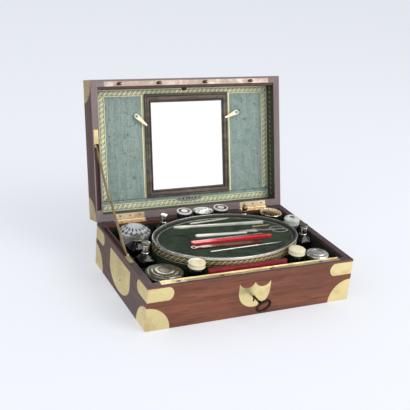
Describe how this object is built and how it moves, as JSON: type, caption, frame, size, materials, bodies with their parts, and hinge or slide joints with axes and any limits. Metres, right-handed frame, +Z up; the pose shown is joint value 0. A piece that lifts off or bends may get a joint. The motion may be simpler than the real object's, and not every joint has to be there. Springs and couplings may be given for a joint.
{
  "type": "antique fitted dressing box",
  "caption": "Brass-bound wooden travelling dressing box, its lid open on a jointed stay, with a mirror on a drop flap, a lift-out oval case of tools, and silver and glass vessels.",
  "frame": {"origin": "centre of the case's underside", "axes": "+Z up, -Y towards the front with the keyhole, +X to the right seen from the front"},
  "size_m": [0.38, 0.4018, 0.3227],
  "materials": {
    "mahogany": "polished, worn",
    "brass": "satin",
    "brass_lock": "tarnished",
    "leather": "worn, gilt-tooled",
    "dark_wood": "polished",
    "mirror_glass": "silvered",
    "steel": "satin",
    "steel_dark": "oxidised",
    "velvet": "velvet",
    "oval_leather": "gilt-tooled, silver rim",
    "ivory": "polished",
    "red_horn": "polished",
    "red_leather": "smooth",
    "tortoiseshell": "polished",
    "cut_glass": "clear",
    "silver": "polished",
    "white_glaze": "glossy"
  },
  "bodies": {
    "case": {"case_front_board": "mahogany", "case_back_board": "mahogany", "case_end_boards": "mahogany", "case_bottom_board": "mahogany", "case_inlaid_brasses": "brass", "case_rim_strip": "brass", "escutcheon": "brass", "lock_case": "brass_lock", "partitions": "dark_wood", "case_hinge_leaves": "brass", "stay_case_plate": "brass"},
    "lid": {"lid_front_board": "mahogany", "lid_back_board": "mahogany", "lid_end_boards": "mahogany", "lid_top_board": "mahogany", "lid_corner_brackets": "brass", "lid_rim_strip": "brass", "lid_hinge_leaves": "brass", "stay_lid_plate": "brass"},
    "flap": {"lid_flap": "leather", "flap_catch": "steel_dark", "mirror_frame": "dark_wood", "mirror_glass": "mirror_glass"},
    "turn_button_left": {"turn_button_left": "brass"},
    "turn_button_right": {"turn_button_right": "brass"},
    "stay_lower_link": {"stay_lower_link": "brass"},
    "stay_upper_link": {"stay_upper_link": "brass"},
    "key": {"key": "steel_dark"},
    "lock_bar": {"lock_bar": "steel"},
    "oval_case": {"oval_case": "oval_leather"},
    "oval_tray": {"oval_tray": "velvet"},
    "ivory_brush": {"ivory_brush": "ivory"},
    "ivory_stick": {"ivory_stick": "ivory"},
    "ivory_paper_knife": {"ivory_paper_knife": "ivory"},
    "folded_razor": {"folded_razor": "red_horn"},
    "tortoiseshell_lorgnette": {"tortoiseshell_lorgnette": "tortoiseshell"},
    "steel_probe": {"steel_probe": "steel"},
    "scissors_lower_half": {"scissors_lower_half": "steel"},
    "scissors_upper_half": {"scissors_upper_half": "steel"},
    "large_powder_box": {"large_powder_box": "cut_glass"},
    "large_powder_box_lid": {"large_powder_box_lid": "silver"},
    "small_powder_box": {"small_powder_box": "silver"},
    "jar_left": {"jar_left": "cut_glass"},
    "jar_right": {"jar_right": "cut_glass"},
    "jar_cap_left": {"jar_cap_left": "ivory"},
    "jar_cap_right": {"jar_cap_right": "ivory"},
    "bottle_left": {"bottle_left": "cut_glass"},
    "bottle_right": {"bottle_right": "cut_glass"},
    "stopper_left": {"stopper_left": "silver"},
    "stopper_right": {"stopper_right": "silver"},
    "faceted_bottle": {"faceted_bottle": "cut_glass"},
    "fluted_jar": {"fluted_jar": "cut_glass"},
    "silver_beaker": {"silver_beaker": "silver"},
    "white_jar": {"white_jar": "white_glaze"},
    "silver_cup": {"silver_cup": "silver"},
    "ring_box_left": {"ring_box_left": "ivory"},
    "ring_box_right": {"ring_box_right": "ivory"},
    "scent_bottle_left": {"scent_bottle_left": "cut_glass"},
    "scent_bottle_right": {"scent_bottle_right": "cut_glass"},
    "comb_case": {"comb_case": "red_leather"}
  },
  "joints": [
    {"name": "lid_hinge", "type": "hinge", "parent": "case", "child": "lid", "pos_m": [0, 0.1266, 0.07875], "axis": [-1, 0, 0], "range_deg": [-105, 0]},
    {"name": "stay_case_pivot", "type": "hinge", "parent": "case", "child": "stay_lower_link", "pos_m": [-0.1829, -0.0095, 0.0773], "axis": [1, 0, 0], "range_deg": [-34.6, 0]},
    {"name": "stay_lid_pivot", "type": "hinge", "parent": "lid", "child": "stay_upper_link", "pos_m": [-0.185, 0.16323, 0.20984], "axis": [-1, 0, 0], "range_deg": [-34.6, 0]},
    {"name": "flap_hinge", "type": "hinge", "parent": "lid", "child": "flap", "pos_m": [0, 0.16136, 0.10319], "axis": [1, 0, 0], "range_deg": [0, 35]},
    {"name": "turn_button_left_pivot", "type": "hinge", "parent": "flap", "child": "turn_button_left", "pos_m": [-0.099, 0.19536, 0.25247], "axis": [0, -0.9659, 0.2588], "continuous": true},
    {"name": "turn_button_right_pivot", "type": "hinge", "parent": "flap", "child": "turn_button_right", "pos_m": [0.106, 0.19536, 0.25247], "axis": [0, -0.9659, 0.2588], "continuous": true},
    {"name": "key_turn", "type": "hinge", "parent": "case", "child": "key", "pos_m": [0, -0.126, 0.034], "axis": [0, -1, 0], "range_deg": [0, 90]},
    {"name": "lock_bar_slide", "type": "slide", "parent": "case", "child": "lock_bar", "axis": [-1, 0, 0], "range_m": [0, 0.003]},
    {"name": "oval_case_lift", "type": "slide", "parent": "case", "child": "oval_case", "axis": [0, 0, 1], "range_m": [0, 0.09]},
    {"name": "oval_tray_lift", "type": "slide", "parent": "oval_case", "child": "oval_tray", "axis": [0, 0, 1], "range_m": [0, 0.025]},
    {"name": "ivory_brush_lift", "type": "slide", "parent": "oval_tray", "child": "ivory_brush", "axis": [0, 0, 1], "range_m": [0, 0.02]},
    {"name": "ivory_stick_lift", "type": "slide", "parent": "oval_tray", "child": "ivory_stick", "axis": [0, 0, 1], "range_m": [0, 0.02]},
    {"name": "ivory_paper_knife_lift", "type": "slide", "parent": "oval_tray", "child": "ivory_paper_knife", "axis": [0, 0, 1], "range_m": [0, 0.02]},
    {"name": "folded_razor_lift", "type": "slide", "parent": "oval_tray", "child": "folded_razor", "axis": [0, 0, 1], "range_m": [0, 0.02]},
    {"name": "tortoiseshell_lorgnette_lift", "type": "slide", "parent": "oval_tray", "child": "tortoiseshell_lorgnette", "axis": [0, 0, 1], "range_m": [0, 0.02]},
    {"name": "steel_probe_lift", "type": "slide", "parent": "oval_tray", "child": "steel_probe", "axis": [0, 0, 1], "range_m": [0, 0.02]},
    {"name": "scissors_lower_half_lift", "type": "slide", "parent": "oval_tray", "child": "scissors_lower_half", "axis": [0, 0, 1], "range_m": [0, 0.02]},
    {"name": "scissors_pivot", "type": "hinge", "parent": "scissors_lower_half", "child": "scissors_upper_half", "pos_m": [0.06609, 0.00193, 0.0909], "axis": [0, 0, -1], "range_deg": [0, 12]},
    {"name": "large_powder_box_lift", "type": "slide", "parent": "case", "child": "large_powder_box", "axis": [0, 0, 1], "range_m": [0, 0.08]},
    {"name": "small_powder_box_lift", "type": "slide", "parent": "case", "child": "small_powder_box", "axis": [0, 0, 1], "range_m": [0, 0.08]},
    {"name": "jar_left_lift", "type": "slide", "parent": "case", "child": "jar_left", "axis": [0, 0, 1], "range_m": [0, 0.08]},
    {"name": "jar_right_lift", "type": "slide", "parent": "case", "child": "jar_right", "axis": [0, 0, 1], "range_m": [0, 0.08]},
    {"name": "bottle_left_lift", "type": "slide", "parent": "case", "child": "bottle_left", "axis": [0, 0, 1], "range_m": [0, 0.08]},
    {"name": "bottle_right_lift", "type": "slide", "parent": "case", "child": "bottle_right", "axis": [0, 0, 1], "range_m": [0, 0.08]},
    {"name": "faceted_bottle_lift", "type": "slide", "parent": "case", "child": "faceted_bottle", "axis": [0, 0, 1], "range_m": [0, 0.08]},
    {"name": "fluted_jar_lift", "type": "slide", "parent": "case", "child": "fluted_jar", "axis": [0, 0, 1], "range_m": [0, 0.08]},
    {"name": "silver_beaker_lift", "type": "slide", "parent": "case", "child": "silver_beaker", "axis": [0, 0, 1], "range_m": [0, 0.08]},
    {"name": "white_jar_lift", "type": "slide", "parent": "case", "child": "white_jar", "axis": [0, 0, 1], "range_m": [0, 0.08]},
    {"name": "silver_cup_lift", "type": "slide", "parent": "case", "child": "silver_cup", "axis": [0, 0, 1], "range_m": [0, 0.05]},
    {"name": "ring_box_left_lift", "type": "slide", "parent": "case", "child": "ring_box_left", "axis": [0, 0, 1], "range_m": [0, 0.05]},
    {"name": "ring_box_right_lift", "type": "slide", "parent": "case", "child": "ring_box_right", "axis": [0, 0, 1], "range_m": [0, 0.05]},
    {"name": "scent_bottle_left_lift", "type": "slide", "parent": "case", "child": "scent_bottle_left", "axis": [0, 0, 1], "range_m": [0, 0.08]},
    {"name": "scent_bottle_right_lift", "type": "slide", "parent": "case", "child": "scent_bottle_right", "axis": [0, 0, 1], "range_m": [0, 0.08]},
    {"name": "comb_case_lift", "type": "slide", "parent": "case", "child": "comb_case", "axis": [0, 0, 1], "range_m": [0, 0.08]},
    {"name": "large_powder_box_lid_lift", "type": "slide", "parent": "large_powder_box", "child": "large_powder_box_lid", "axis": [0, 0, 1], "range_m": [0, 0.02]},
    {"name": "jar_cap_left_lift", "type": "slide", "parent": "jar_left", "child": "jar_cap_left", "axis": [0, 0, 1], "range_m": [0, 0.015]},
    {"name": "jar_cap_right_lift", "type": "slide", "parent": "jar_right", "child": "jar_cap_right", "axis": [0, 0, 1], "range_m": [0, 0.015]},
    {"name": "stopper_left_lift", "type": "slide", "parent": "bottle_left", "child": "stopper_left", "axis": [0, 0, 1], "range_m": [0, 0.015]},
    {"name": "stopper_right_lift", "type": "slide", "parent": "bottle_right", "child": "stopper_right", "axis": [0, 0, 1], "range_m": [0, 0.015]}
  ],
  "couplings": [
    {"joint": "stay_case_pivot", "follows": "lid_hinge", "ratio": 0.32927},
    {"joint": "stay_lid_pivot", "follows": "lid_hinge", "ratio": 0.32927},
    {"joint": "key_turn", "follows": "lock_bar_slide", "rad_per_m": 523.6}
  ]
}
